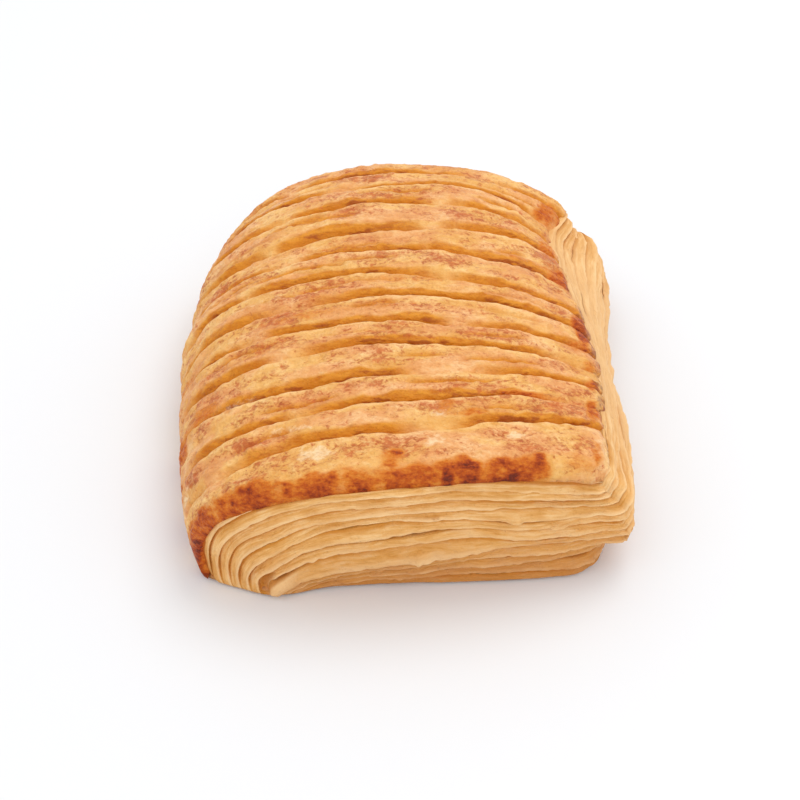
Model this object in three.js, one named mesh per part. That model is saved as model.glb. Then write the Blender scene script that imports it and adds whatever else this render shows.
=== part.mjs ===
// A whole baked spanakopita: a parcel of puff pastry, folded round its filling along the left side.
// The lid is slit crosswise into strips that the oven has opened, and the layers of the dough show
// as stepped edges on the front end, the open right side and the back end.
//
// Millimetres, +Z up, +X towards the open side, +Y towards the back end. The origin is under the
// middle of the pastry, on the surface that it stands on.
import * as THREE from "three";
import { mergeVertices } from "three/addons/utils/BufferGeometryUtils.js";

// ---- Driving dimensions -----------------------------------------------------------------------------

const HALF_LENGTH = 75; // from the middle of the lid to either end
const BOX_MIDDLE = [1.1, 0.2]; // x and y of the middle of the pastry's box, seen from the lid's middle

// Sizes that change along the pastry, as [share of the length from the front, size].
const FOLD_X = [[0, -51], [0.12, -55], [0.3, -58.5], [0.6, -61], [0.85, -58], [1, -51]];
const CROWN_HEIGHT = [[0, 39], [0.2, 41.5], [0.5, 44], [0.8, 44.8], [1, 41.8]];
const EDGE_X = [[0, 50.4], [0.3, 52.5], [0.45, 51.5], [0.6, 49], [0.82, 45], [0.95, 51], [1, 51.5]];
const EDGE_HEIGHT = [[0, 32.6], [0.3, 31.5], [0.6, 32], [0.85, 30.5], [1, 28.5]];
const BULGE_X = [[0, 57.5], [0.06, 58.5], [0.2, 59.5], [0.6, 59], [0.8, 62.5], [0.93, 63.5], [1, 60]];

const CROWN_X = 6; // the lid is highest along this line
const FOLD_HEIGHT = 11; // the folded side stands out most at this height
const FOLD_TUCK = 3; // and pulls in below it by this much, down to the tray
const FOLD_ROUNDNESS = 2.25; // of its shoulder; 2 is an ellipse
const LID_FALL = 2.3; // how late the lid falls off towards the open side
const END_ROLL = 3; // how far the lid rolls down at the two ends
const END_ROLL_LENGTH = 6; // and over what length
const FRONT_BOW = { middle: -20, towardsFold: 0.005, towardsEdge: 0.002, upTo: 50 }; // seen from above
const FRONT_FOOT = [[-50, -68], [-40, -72], [-31, -74.6], [-15, -71.2], [20, -69.3], [55, -67]]; // [x, y]
const BACK_BOW = { reach: 56, foldCorner: 8, edgeCorner: 5 }; // how far the back corners fall short
const BACK_LEAN = 2.5; // the back end falls back by this much, down to the tray
const UPRIGHT_HEIGHT = 32; // the ends fall back below this height,
const LEAN_LAG = 1.5; // the more the lower; 1 is a straight slope
const FOOT = 0.8; // the lowest layer's edge stands this far off the tray
const FOOT_INSET = 0.97; // the flat underside, as a share of the outline above it

// The lines between the dough's layers on the front end, from the lid's edge down to the tray:
// [x where the line starts or stands out most, its heights at LINE_PLACES, and its share of the open
// side's height]. The first eight nest round the left fold, and the last four bound the bottom sheet.
const LINE_PLACES = [0, 15, 30];
const LAYER_LINES = [
  [-48.5, [36.3, 36.8, 34.8], 1],
  [-47, [35, 35.2, 33], 0.95],
  [-44.6, [33, 32.5, 29.9], 0.86],
  [-42.1, [29.8, 29.7, 27.4], 0.8],
  [-39.7, [26.7, 26.7, 26.1], 0.74],
  [-37.2, [23.8, 23.6, 20.3], 0.66],
  [-34.8, [18.8, 20.5, 17.8], 0.55],
  [-32.3, [15.5, 17.3, 14.2], 0.47],
  [-29.5, [7.4, 9.9, 12.7], 0.4],
  [-27, [6.3, 8.4, 9.3], 0.33],
  [-24.5, [4.7, 5.8, 6.6], 0.23],
  [-22, [2.8, 3.4, 2.8], 0.1],
  [-20, [0, 0, 0], 0],
];
const LAYERS = LAYER_LINES.length - 1;
// The rest of a line's round of the fold, as [share of the way down from the lid, size].
const LINE_TUCK = [[0, 3], [0.08, 1.2], [0.6, 0.5], [1, 0]];
const LINE_FOLD_HEIGHT = [[0, 11], [0.08, 8.5], [0.58, 3], [0.67, 0.9], [1, 0.8]];
const LINE_ROUNDNESS = [[0, 2.25], [0.58, 1.65], [1, 1.4]];
// How far the open side stands out on the way down, as a share of its bulge.
const SIDE_OUT = [[0, 0], [0.2, 0.3], [0.42, 0.8], [0.6, 1], [0.74, 0.97], [0.8, 0.35], [1, 0.05]];

const LAYER_EDGES = [[0.12, -0.9], [0.92, 0.7]]; // [share of the layer's height, how far it stands out]
const LAYER_STAGGER = 0.8; // how unevenly the layers stand out at the ends
const FRAY = 1.3; // and at the open side
const FRAY_ONSET = 0.3; // share of the open side over which that sets in from its corners
const FIRST_LAYER = 0.3; // share of this relief on the layer under the lid
const FOLD_CALM = 0.06; // share of an end over which the relief dies out at the fold's foot
const LAYER_WAVES = 7; // waves of a layer's edge along each face, in radians
const CORNER = 0.06; // share of a face over which its relief turns the corner

// Rows of slits across the lid. Each lies at a share of the length at its left, middle and right, and
// is cut from one share of the lid's width to another, opened by the oven to the given depth.
const SLIT_ROWS = [
  { at: [0.03, 0.097, 0.115], cuts: [[0.02, 0.24, 1.5], [0.22, 0.7, 1.8], [0.68, 1.1, 2.6]] },
  { at: [0.11, 0.164, 0.185], cuts: [[0.0, 0.43, 2.8], [0.4, 0.95, 2.8]] },
  { at: [0.215, 0.233, 0.243], cuts: [[0.06, 0.66, 3.4], [0.7, 1.1, 1.6]] },
  { at: [0.28, 0.32, 0.3], cuts: [[0.0, 0.4, 2.4], [0.4, 0.95, 3.2]] },
  { at: [0.37, 0.39, 0.35], cuts: [[0.04, 0.36, 2.0], [0.34, 0.72, 3.2], [0.7, 1.1, 2.0]] },
  { at: [0.43, 0.462, 0.42], cuts: [[0.0, 0.42, 2.2], [0.42, 1.05, 3.2]] },
  { at: [0.505, 0.538, 0.465], cuts: [[0.04, 0.33, 2.6], [0.3, 0.72, 2.8], [0.7, 1.05, 2.6]] },
  { at: [0.58, 0.615, 0.57], cuts: [[0.0, 0.42, 2.2], [0.4, 0.71, 2.6], [0.66, 1.0, 3.0]] },
  { at: [0.655, 0.672, 0.7], cuts: [[0.04, 0.38, 2.2], [0.36, 0.7, 3.0], [0.7, 1.05, 2.4]] },
  { at: [0.74, 0.785, 0.775], cuts: [[0.0, 0.4, 2.2], [0.38, 0.74, 2.6], [0.72, 1.1, 2.0]] },
  { at: [0.83, 0.86, 0.855], cuts: [[0.05, 0.5, 2.6], [0.48, 1.0, 2.4]] },
  { at: [0.91, 0.925, 0.925], cuts: [[0.0, 0.36, 2.0], [0.34, 0.8, 2.4], [0.78, 1.1, 1.6]] },
];
const CREASE = 0.6; // a row's depth between its cuts
const STRIP_SWELL = 0.8; // how far a strip swells between two rows
const STRIP_RISE = 0.42; // share of a strip that climbs out of the slit in front of it
const STRIP_BRINK = 0.9; // and from here it drops into the slit behind it
const SLITS_FROM = 0.09; // share of the lid's width over which the relief dies out, down at the fold

// ---- How finely the solid is faceted ----------------------------------------------------------------

const ACROSS = 36; // facets across the lid and across each end
const STRIP_STEPS = [0, 0.22, 0.55, 0.93]; // rows of points on a strip
const TRACE = 60; // points on each stretch of a section, before it is divided evenly

// ---- Small tools ------------------------------------------------------------------------------------

const clamp = (x) => Math.min(1, Math.max(0, x));
const mix = (a, b, share) => a + (b - a) * share;

// 0 up to one place and 1 from another, with a smooth rise between.
function smooth(from, to, x) {
  const f = clamp((x - from) / (to - from));
  return f * f * (3 - 2 * f);
}

// The size at a place, by a smooth curve through [place, size] pairs.
function along(pairs, place) {
  const last = pairs.length - 1;
  let i = 0;
  while (i < last - 1 && place > pairs[i + 1][0]) i++;
  const slope = (k) => {
    const before = pairs[Math.max(0, k - 1)];
    const after = pairs[Math.min(last, k + 1)];
    return (after[1] - before[1]) / (after[0] - before[0]);
  };
  const span = pairs[i + 1][0] - pairs[i][0];
  const f = clamp((place - pairs[i][0]) / span);
  const bend = span * (slope(i) * f * (1 - f) ** 2 - slope(i + 1) * f ** 2 * (1 - f));
  return mix(pairs[i][1], pairs[i + 1][1], f * f * (3 - 2 * f)) + bend;
}

// A wave between -1 and 1 along x, of three sines whose starts are drawn from the seed.
const DRAW = { perSeed: 12.9898, perSine: 78.233, scale: 43758.5453 };
function wave(seed, x) {
  let [sum, most] = [0, 0];
  for (let k = 1; k <= 3; k++) {
    const draw = Math.sin(seed * DRAW.perSeed + k * DRAW.perSine) * DRAW.scale;
    sum += Math.sin(k * x + 2 * Math.PI * (draw - Math.floor(draw))) / k;
    most += 1 / k;
  }
  return sum / most;
}

// ---- The shape without its relief -------------------------------------------------------------------

// The two ends. Seen from above, each is a bow, and towards the tray it falls back.
const fallBack = (z) => clamp(1 - z / UPRIGHT_HEIGHT) ** LEAN_LAG;
function frontY(x, z) {
  const bow = x < FRONT_BOW.middle ? FRONT_BOW.towardsFold : FRONT_BOW.towardsEdge;
  const top = -HALF_LENGTH + bow * (Math.min(x, FRONT_BOW.upTo) - FRONT_BOW.middle) ** 2;
  return mix(top, along(FRONT_FOOT, x), fallBack(z));
}
function backY(x, z) {
  const corner = x < 0 ? BACK_BOW.foldCorner : BACK_BOW.edgeCorner;
  return HALF_LENGTH - corner * Math.abs(x / BACK_BOW.reach) ** 3 - BACK_LEAN * fallBack(z);
}

// A section's [x, z] points, evenly spaced: from the tray round the fold, over the crown, and then by
// topHeight, the section's height at any x, to the edge.
function arch({ foldX, tuck, foldHeight, roundness, crownX, edgeX, topHeight }) {
  const traced = [];
  for (let k = 0; k < TRACE; k++) {
    const turn = ((k / TRACE) * Math.PI) / 2;
    traced.push([foldX + tuck * (1 - Math.sin(turn)), mix(FOOT, foldHeight, 1 - Math.cos(turn))]);
  }
  for (let k = 0; k < TRACE; k++) {
    const turn = ((k / TRACE) * Math.PI) / 2;
    const [out, up] = [Math.cos(turn) ** (2 / roundness), Math.sin(turn) ** (2 / roundness)];
    traced.push([mix(crownX, foldX, out), mix(foldHeight, topHeight(crownX), up)]);
  }
  for (let k = 0; k <= TRACE; k++) {
    const x = mix(crownX, edgeX, k / TRACE);
    traced.push([x, topHeight(x)]);
  }
  return evenly(traced, ACROSS);
}

// The same line as so many pieces of equal length.
function evenly(line, pieces) {
  const run = [0];
  for (let k = 1; k < line.length; k++) {
    run.push(run[k - 1] + Math.hypot(line[k][0] - line[k - 1][0], line[k][1] - line[k - 1][1]));
  }
  const points = [];
  let k = 0;
  for (let i = 0; i <= pieces; i++) {
    const reach = (run[run.length - 1] * i) / pieces;
    while (k < line.length - 2 && run[k + 1] <= reach) k++;
    const f = i === pieces ? 1 : clamp((reach - run[k]) / (run[k + 1] - run[k]));
    points.push([mix(line[k][0], line[k + 1][0], f), mix(line[k][1], line[k + 1][1], f)]);
  }
  return points;
}

function lidSection(t) {
  const [crownHeight, edgeX, edgeHeight] = [along(CROWN_HEIGHT, t), along(EDGE_X, t), along(EDGE_HEIGHT, t)];
  const fall = (x) => clamp((x - CROWN_X) / (edgeX - CROWN_X)) ** LID_FALL;
  return arch({
    foldX: along(FOLD_X, t),
    tuck: FOLD_TUCK,
    foldHeight: FOLD_HEIGHT,
    roundness: FOLD_ROUNDNESS,
    crownX: CROWN_X,
    edgeX,
    topHeight: (x) => mix(crownHeight, edgeHeight, fall(x)),
  });
}

// ---- The lid, with its strips -----------------------------------------------------------------------

// Where a row of slits lies, as a share of the length, at a share of the lid's width.
// Row 0 is the lid's front edge and the row after the last its back edge.
function slitPlace(row, across) {
  if (row === 0) return 0;
  if (row > SLIT_ROWS.length) return 1;
  const [left, middle, right] = SLIT_ROWS[row - 1].at;
  return along([[0, left], [0.5, middle], [1, right]], across);
}

function slitDepth(row, across) {
  if (row === 0 || row > SLIT_ROWS.length) return 0;
  const depths = SLIT_ROWS[row - 1].cuts.map(([from, to, depth]) => {
    const off = (2 * across - from - to) / (to - from);
    return depth * Math.sqrt(Math.max(0, 1 - off * off));
  });
  return Math.max(CREASE, ...depths);
}

// How far the lid stands out at a share of a strip, counted from the slit in front of it.
function stripRelief(strip, share, across) {
  const climb = slitDepth(strip, across) * (1 - smooth(0, STRIP_RISE, share));
  const drop = slitDepth(strip + 1, across) * smooth(STRIP_BRINK, 1, share);
  return STRIP_SWELL * Math.sin(Math.PI * share) - climb - drop;
}

function endRoll(t) {
  const fromEnd = Math.min(t, 1 - t) * 2 * HALF_LENGTH;
  const off = 1 - clamp(fromEnd / END_ROLL_LENGTH);
  return END_ROLL * (1 - Math.sqrt(1 - off * off));
}

// Rows of points [x, y, z] over the lid, each from the fold's foot to the open side, front to back.
function lidRows() {
  const places = [];
  for (let strip = 0; strip <= SLIT_ROWS.length; strip++) {
    for (const share of STRIP_STEPS) places.push([strip, share]);
  }
  places.push([SLIT_ROWS.length, 1]);

  return places.map(([strip, share]) => {
    const row = [];
    for (let i = 0; i <= ACROSS; i++) {
      const across = i / ACROSS;
      const t = mix(slitPlace(strip, across), slitPlace(strip + 1, across), share);
      const section = lidSection(t);
      const [x, z] = section[i];
      const before = section[Math.max(0, i - 1)];
      const after = section[Math.min(ACROSS, i + 1)];
      const [dx, dz] = [after[0] - before[0], after[1] - before[1]];
      const slope = Math.hypot(dx, dz);
      const out = (stripRelief(strip, share, across) - endRoll(t)) * smooth(0, SLITS_FROM, across);
      const y = mix(frontY(x, z), backY(x, z), t);
      row.push([x - (out * dz) / slope, y, z + (out * dx) / slope, t]);
    }
    return row;
  });
}

// ---- The cut faces: front end, open side and back end, as one band ----------------------------------

// A layer line's entry for a share of the way down from the lid, between two lines where need be.
function lineSize(down, pick) {
  const k = Math.min(LAYERS - 1, Math.floor(down * LAYERS));
  return mix(pick(LAYER_LINES[k]), pick(LAYER_LINES[k + 1]), down * LAYERS - k);
}

// [x, z] on the open side, below a point of the lid's edge.
function sidePoint([edgeX, , edgeZ, t], down) {
  const share = lineSize(down, (line) => line[2]);
  return [mix(edgeX, along(BULGE_X, t), along(SIDE_OUT, down)), mix(FOOT, edgeZ, share)];
}

// [x, z] points of a layer's line across an end of the pastry, below the given row of the lid.
function endLine(lidRow, t, down) {
  const [edgeX, edgeHeight] = sidePoint(lidRow[ACROSS], down);
  const rise = (along(CROWN_HEIGHT, t) - END_ROLL) / (along(CROWN_HEIGHT, 0) - END_ROLL);
  const heights = LINE_PLACES.map((x, i) => {
    return [x, Math.max(FOOT, rise * lineSize(down, (line) => line[1][i]))];
  });
  heights.push([edgeX, edgeHeight]);
  return arch({
    foldX: lineSize(down, (line) => line[0]),
    tuck: along(LINE_TUCK, down),
    foldHeight: Math.min(heights[0][1], along(LINE_FOLD_HEIGHT, down)),
    roundness: along(LINE_ROUNDNESS, down),
    crownX: LINE_PLACES[0],
    edgeX,
    topHeight: (x) => along(heights, x),
  });
}

// How far a layer's edge stands out at a place round the band: 0 to 1 is the front end, 1 to 2 the
// open side and 2 to 3 the back end.
function layerRelief(layer, out, round) {
  const onSide = smooth(1, 1 + FRAY_ONSET, round) * (1 - smooth(2 - FRAY_ONSET, 2, round));
  const stagger = mix(LAYER_STAGGER, FRAY, onSide) * wave(layer, LAYER_WAVES * round);
  const calm = smooth(0, FOLD_CALM, round) * (1 - smooth(3 - FOLD_CALM, 3, round));
  return (out + stagger) * (layer === 0 ? FIRST_LAYER : 1) * calm;
}

// Columns of points round the band, each from the lid down to the foot.
function bandColumns(lid) {
  const places = [{ down: 0 }];
  for (let layer = 0; layer < LAYERS; layer++) {
    for (const [share, out] of LAYER_EDGES) places.push({ down: (layer + share) / LAYERS, layer, out });
  }
  places.push({ down: 1 });

  const [front, back] = [lid[0], lid[lid.length - 1]];
  const rows = places.map(({ down, layer, out }) => {
    if (down === 0) {
      return [...front, ...lid.slice(1, -1).map((row) => row[ACROSS]), ...[...back].reverse()];
    }
    const bare = [
      ...endLine(front, 0, down).map(([x, z], i) => [x, z, 0, i / ACROSS]),
      ...lid.slice(1, -1).map((row) => {
        const edge = row[ACROSS];
        return [...sidePoint(edge, down), edge[3], 1 + edge[3]];
      }),
      ...endLine(back, 1, down).map(([x, z], i) => [x, z, 1, 3 - i / ACROSS]).reverse(),
    ];
    return bare.map(([x, z, t, round]) => {
      const relief = layer === undefined ? 0 : layerRelief(layer, out, round);
      const outX = smooth(1 - CORNER, 1, round) * (1 - smooth(2, 2 + CORNER, round));
      const outY = smooth(2 - CORNER, 2, round) - 1 + smooth(1, 1 + CORNER, round);
      const y = mix(frontY(x, z), backY(x, z), t);
      return [x + relief * outX, y + relief * outY, z];
    });
  });
  return rows[0].map((_, i) => rows.map((row) => row[i]));
}

// ---- The solid --------------------------------------------------------------------------------------

function pastryGeometry() {
  const lid = lidRows();
  const band = bandColumns(lid);
  const positions = [];
  const triangle = (...corners) => {
    for (const [x, y, z] of corners) positions.push(x - BOX_MIDDLE[0], y - BOX_MIDDLE[1], z);
  };
  const patch = (grid) => {
    for (let i = 0; i < grid.length - 1; i++) {
      for (let j = 0; j < grid[i].length - 1; j++) {
        const [a, b] = [grid[i][j], grid[i][j + 1]];
        const [c, d] = [grid[i + 1][j + 1], grid[i + 1][j]];
        triangle(a, b, c);
        triangle(a, c, d);
      }
    }
  };
  patch(lid);
  patch(band);

  // The underside: the foot all round, then a narrow slope in to the flat that rests on the tray.
  const lastDown = band[0].length - 1;
  const foot = [
    ...band[0].slice(0, lastDown),
    ...band.map((column) => column[lastDown]),
    ...band[band.length - 1].slice(0, lastDown).reverse(),
    ...lid.slice(1, -1).map((row) => row[0]).reverse(),
  ];
  const flat = foot.map(([x, y]) => [x * FOOT_INSET, y * FOOT_INSET, 0]);
  for (let i = 0; i < foot.length; i++) {
    const next = (i + 1) % foot.length;
    triangle(foot[i], flat[i], flat[next]);
    triangle(foot[i], flat[next], foot[next]);
    triangle([0, 0, 0], flat[next], flat[i]);
  }

  const geometry = new THREE.BufferGeometry();
  geometry.setAttribute("position", new THREE.Float32BufferAttribute(positions, 3));
  const solid = mergeVertices(geometry, 1e-4);
  solid.computeVertexNormals();
  return solid;
}

const crust = new THREE.MeshStandardMaterial({ color: 0xd79b52, roughness: 0.55, metalness: 0 });
const pastry = new THREE.Mesh(pastryGeometry(), crust);
pastry.name = "pastry";

const spanakopita = new THREE.Group();
spanakopita.add(pastry);
export default spanakopita;
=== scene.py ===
import math

import bmesh
import bpy
import numpy as np
from mathutils import Matrix, Vector


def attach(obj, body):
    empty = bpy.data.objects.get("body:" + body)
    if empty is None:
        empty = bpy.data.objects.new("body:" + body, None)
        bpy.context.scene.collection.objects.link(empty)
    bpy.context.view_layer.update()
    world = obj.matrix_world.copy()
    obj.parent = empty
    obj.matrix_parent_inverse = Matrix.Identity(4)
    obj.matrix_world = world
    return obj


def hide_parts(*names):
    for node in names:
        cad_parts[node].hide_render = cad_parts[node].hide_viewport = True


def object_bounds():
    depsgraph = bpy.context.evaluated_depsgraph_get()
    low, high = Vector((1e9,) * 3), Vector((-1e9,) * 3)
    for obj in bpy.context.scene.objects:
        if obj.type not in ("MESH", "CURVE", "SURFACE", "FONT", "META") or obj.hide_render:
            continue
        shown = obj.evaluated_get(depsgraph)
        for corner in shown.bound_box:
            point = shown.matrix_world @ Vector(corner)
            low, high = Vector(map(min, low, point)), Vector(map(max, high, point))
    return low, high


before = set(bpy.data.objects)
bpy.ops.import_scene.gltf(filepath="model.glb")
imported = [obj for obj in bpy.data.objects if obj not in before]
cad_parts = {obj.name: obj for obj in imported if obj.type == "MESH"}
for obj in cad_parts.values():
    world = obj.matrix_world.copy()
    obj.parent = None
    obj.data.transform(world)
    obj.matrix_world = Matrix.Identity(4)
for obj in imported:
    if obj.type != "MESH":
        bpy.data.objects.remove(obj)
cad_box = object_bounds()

# ---- The parcel's shape ------------------------------------------------------------------------------

HALF_LENGTH = 75.0  # from the middle of the lid to either end
BOX_MIDDLE = (1.1, 0.2)  # x and y of the middle of the pastry's box, seen from the lid's middle

# Sizes that change along the pastry, as (share of the length from the front, size).
FOLD_X = [(0, -51), (0.12, -55), (0.3, -58.5), (0.6, -61), (0.85, -58), (1, -51)]
CROWN_HEIGHT = [(0, 39), (0.2, 41.5), (0.5, 44), (0.8, 44.8), (1, 41.8)]
EDGE_X = [(0, 50.4), (0.3, 52.5), (0.45, 51.5), (0.6, 49), (0.82, 45), (0.95, 51), (1, 51.5)]
EDGE_HEIGHT = [(0, 32.6), (0.3, 31.5), (0.6, 32), (0.85, 30.5), (1, 28.5)]
BULGE_X = [(0, 57.5), (0.06, 58.5), (0.2, 59.5), (0.6, 59), (0.8, 62.5), (0.93, 63.5), (1, 60)]

CROWN_X = 6.0  # the lid is highest along this line
FOLD_HEIGHT = 11.0  # the folded side stands out most at this height
FOLD_TUCK = 3.0  # and pulls in below it by this much, down to the tray
FOLD_ROUNDNESS = 2.25  # of its shoulder; 2 is an ellipse
LID_FALL = 2.3  # how late the lid falls off towards the open side
END_ROLL = 3.0  # how far the lid rolls down at the two ends
END_ROLL_LENGTH = 6.0  # and over what length
FRONT_BOW = {"middle": -20, "towards_fold": 0.005, "towards_edge": 0.002, "up_to": 50}
FRONT_FOOT = [(-50, -68), (-40, -72), (-31, -74.6), (-15, -71.2), (20, -69.3), (55, -67)]  # (x, y)
BACK_BOW = {"reach": 56, "fold_corner": 8, "edge_corner": 5}
BACK_LEAN = 2.5  # the back end falls back by this much, down to the tray
UPRIGHT_HEIGHT = 32.0  # the ends fall back below this height,
LEAN_LAG = 1.5  # the more the lower; 1 is a straight slope
FOOT = 0.8  # the lowest layer's edge stands this far off the tray

# ---- The layers of dough -----------------------------------------------------------------------------

# The lines between the layers on the front end, from the lid's edge down to the tray: x where the line
# starts or stands out most, its heights at LINE_PLACES, and its share of the open side's height.
LINE_PLACES = (0, 15, 30)
LAYER_LINES = [
    (-48.5, (36.3, 36.8, 34.8), 1),
    (-47, (35, 35.2, 33), 0.95),
    (-44.6, (33, 32.5, 29.9), 0.86),
    (-42.1, (29.8, 29.7, 27.4), 0.8),
    (-39.7, (26.7, 26.7, 26.1), 0.74),
    (-37.2, (23.8, 23.6, 20.3), 0.66),
    (-34.8, (18.8, 20.5, 17.8), 0.55),
    (-32.3, (15.5, 17.3, 14.2), 0.47),
    (-29.5, (7.4, 9.9, 12.7), 0.4),
    (-27, (6.3, 8.4, 9.3), 0.33),
    (-24.5, (4.7, 5.8, 6.6), 0.23),
    (-22, (2.8, 3.4, 2.8), 0.1),
    (-20, (0, 0, 0), 0),
]
LAYERS = len(LAYER_LINES) - 1
# The rest of a line's round of the fold, as (share of the way down from the lid, size).
LINE_TUCK = [(0, 3), (0.08, 1.2), (0.6, 0.5), (1, 0)]
LINE_FOLD_HEIGHT = [(0, 11), (0.08, 8.5), (0.58, 3), (0.67, 0.9), (1, 0.8)]
LINE_ROUNDNESS = [(0, 2.25), (0.58, 1.65), (1, 1.4)]
# How far the open side stands out on the way down, as a share of its bulge.
SIDE_OUT = [(0, 0), (0.2, 0.3), (0.42, 0.8), (0.6, 1), (0.74, 0.97), (0.8, 0.35), (1, 0.05)]

# How far a layer's edge stands out on the way down, as (share of the layer, mm): it is drawn in under
# the layer above, runs out to a lip, and is undercut.
LAYER_PROFILE = [
    (0, -1.0),
    (0.05, -0.95),
    (0.13, -0.7),
    (0.5, -0.1),
    (0.8, 0.5),
    (0.9, 0.6),
    (0.96, 0.2),
    (1, -1.0),
]
LAYER_STAGGER = 0.8  # how unevenly the layers stand out at the ends
FRAY = 1.3  # and at the open side
FRAY_ONSET = 0.3  # share of the open side over which that sets in from its corners
FRAY_TOP = (0.1, 0.15, 0.7)  # share of it just under the lid, and between which shares of the way down it grows
FIRST_LAYER = 0.3  # share of this relief on the layer under the lid
FOLD_CALM = 0.06  # share of an end over which the relief dies out at the fold's foot
LAYER_WAVES = 7.0  # waves of a layer's edge along each face, in radians
CORNER = 0.06  # share of a face over which its relief turns the corner

# ---- The slits in the lid ----------------------------------------------------------------------------

# Rows of slits, each at a share of the length at its left, middle and right, and cut from one share of
# the lid's width to another, opened by the oven to the given depth.
SLIT_ROWS = [
    ((0.03, 0.097, 0.115), [(0.02, 0.24, 1.5), (0.22, 0.7, 1.8), (0.68, 1.1, 2.6)]),
    ((0.11, 0.164, 0.185), [(0.0, 0.43, 2.8), (0.4, 0.95, 2.8)]),
    ((0.215, 0.233, 0.243), [(0.06, 0.66, 3.4), (0.7, 1.1, 1.6)]),
    ((0.28, 0.32, 0.3), [(0.0, 0.4, 2.4), (0.4, 0.95, 3.2)]),
    ((0.37, 0.39, 0.35), [(0.04, 0.36, 2.0), (0.34, 0.72, 3.2), (0.7, 1.1, 2.0)]),
    ((0.43, 0.462, 0.42), [(0.0, 0.42, 2.2), (0.42, 1.05, 3.2)]),
    ((0.505, 0.538, 0.465), [(0.04, 0.33, 2.6), (0.3, 0.72, 2.8), (0.7, 1.05, 2.6)]),
    ((0.58, 0.615, 0.57), [(0.0, 0.42, 2.2), (0.4, 0.71, 2.6), (0.66, 1.0, 3.0)]),
    ((0.655, 0.672, 0.7), [(0.04, 0.38, 2.2), (0.36, 0.7, 3.0), (0.7, 1.05, 2.4)]),
    ((0.74, 0.785, 0.775), [(0.0, 0.4, 2.2), (0.38, 0.74, 2.6), (0.72, 1.1, 2.0)]),
    ((0.83, 0.86, 0.855), [(0.05, 0.5, 2.6), (0.48, 1.0, 2.4)]),
    ((0.91, 0.925, 0.925), [(0.0, 0.36, 2.0), (0.34, 0.8, 2.4), (0.78, 1.1, 1.6)]),
]
STRIPS = len(SLIT_ROWS) + 1
SLIT_SCALE = 0.86  # and the share of that depth which is left open
CREASE = 0.3  # a row's depth between its cuts
STRIP_SWELL = 0.55  # how far a strip swells between two rows
STRIP_RISE = 0.46  # share of a strip that climbs out of the slit in front of it
FAR_WALL = (0.04, 0.2)  # the steep far side of a slit, as shares of the strip behind it
WALL_SHARE = 0.72  # share of the climb that it takes
NEAR_WALL = (0.925, 0.98)  # the steep near side of a slit, as shares of the strip in front of it
LEAN_OVER = 0.7  # mm that a strip's far brink leans over the slit
SLITS_FROM = 0.16  # share of the lid's width over which the relief dies out, down at the fold

# ---- Small tools -------------------------------------------------------------------------------------

MM = 0.001


def mix(a, b, share):
    return a + (b - a) * share


def smooth(start, end, x):
    """0 up to one place and 1 from another, with a smooth rise between."""
    f = np.clip((x - start) / (end - start), 0, 1)
    return f * f * (3 - 2 * f)


def along(pairs, place):
    """The size at each place, by a smooth curve through (place, size) pairs."""
    places, sizes = np.array(pairs, float).T
    last = len(pairs) - 1
    order = np.arange(last + 1)
    before = np.maximum(order - 1, 0)
    after = np.minimum(order + 1, last)
    slopes = (sizes[after] - sizes[before]) / (places[after] - places[before])
    i = np.searchsorted(places[1:last], place, side="left")
    span = places[i + 1] - places[i]
    f = np.clip((place - places[i]) / span, 0, 1)
    bend = span * (slopes[i] * f * (1 - f) ** 2 - slopes[i + 1] * f**2 * (1 - f))
    return mix(sizes[i], sizes[i + 1], f * f * (3 - 2 * f)) + bend


def wave(seed, x):
    """A wave between -1 and 1 along x, of three sines whose starts are drawn from the seed."""
    total = 0
    for k in (1, 2, 3):
        draw = np.sin(seed * 12.9898 + k * 78.233) * 43758.5453
        total = total + np.sin(k * x + 2 * np.pi * (draw - np.floor(draw))) / k
    return total / (1 + 1 / 2 + 1 / 3)


def draws(cells, seed):
    """A fixed random number from 0 to 1 for each cell, given as whole numbers on the last axis."""
    mixed = np.full(cells.shape[:-1], seed * 374761393, np.int64)
    for axis, prime in zip(range(cells.shape[-1]), (73856093, 19349663, 83492791)):
        mixed = mixed ^ (cells[..., axis] * prime)
    mixed = (mixed ^ (mixed >> 13)) * 1274126177 & 0xFFFFFFFF
    mixed = (mixed ^ (mixed >> 16)) * 668265263 & 0xFFFFFFFF
    return (mixed >> 8 & 0xFFFF) / 0xFFFF


def lumps(points, size, seed):
    """Soft uneven ground between -1 and 1 with features of the given size."""
    scaled = np.asarray(points) / size
    cells = np.floor(scaled).astype(np.int64)
    f = scaled - cells
    f = f * f * (3 - 2 * f)
    total = 0
    dimensions = scaled.shape[-1]
    for corner in np.ndindex(*(2,) * dimensions):
        weight = np.prod(np.where(np.array(corner) == 1, f, 1 - f), axis=-1)
        total = total + weight * draws(cells + np.array(corner), seed)
    return 2 * total - 1


def blisters(places, size, share, seed):
    """Round rises from 0 to 1 scattered over places (x, y), one in a share of the cells of that size."""
    scaled = np.asarray(places) / size
    home = np.floor(scaled).astype(np.int64)
    highest = np.zeros(scaled.shape[:-1])
    for step in np.ndindex(3, 3):
        cell = home + np.array(step) - 1
        there = draws(cell, seed) < share
        centre = cell + np.stack([draws(cell, seed + 1), draws(cell, seed + 2)], axis=-1)
        radius = mix(0.2, 0.5, draws(cell, seed + 3))
        off = np.sum((scaled - centre) ** 2, axis=-1) / radius**2
        highest = np.maximum(highest, np.where(there, np.clip(1 - off, 0, 1), 0))
    return highest


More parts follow.
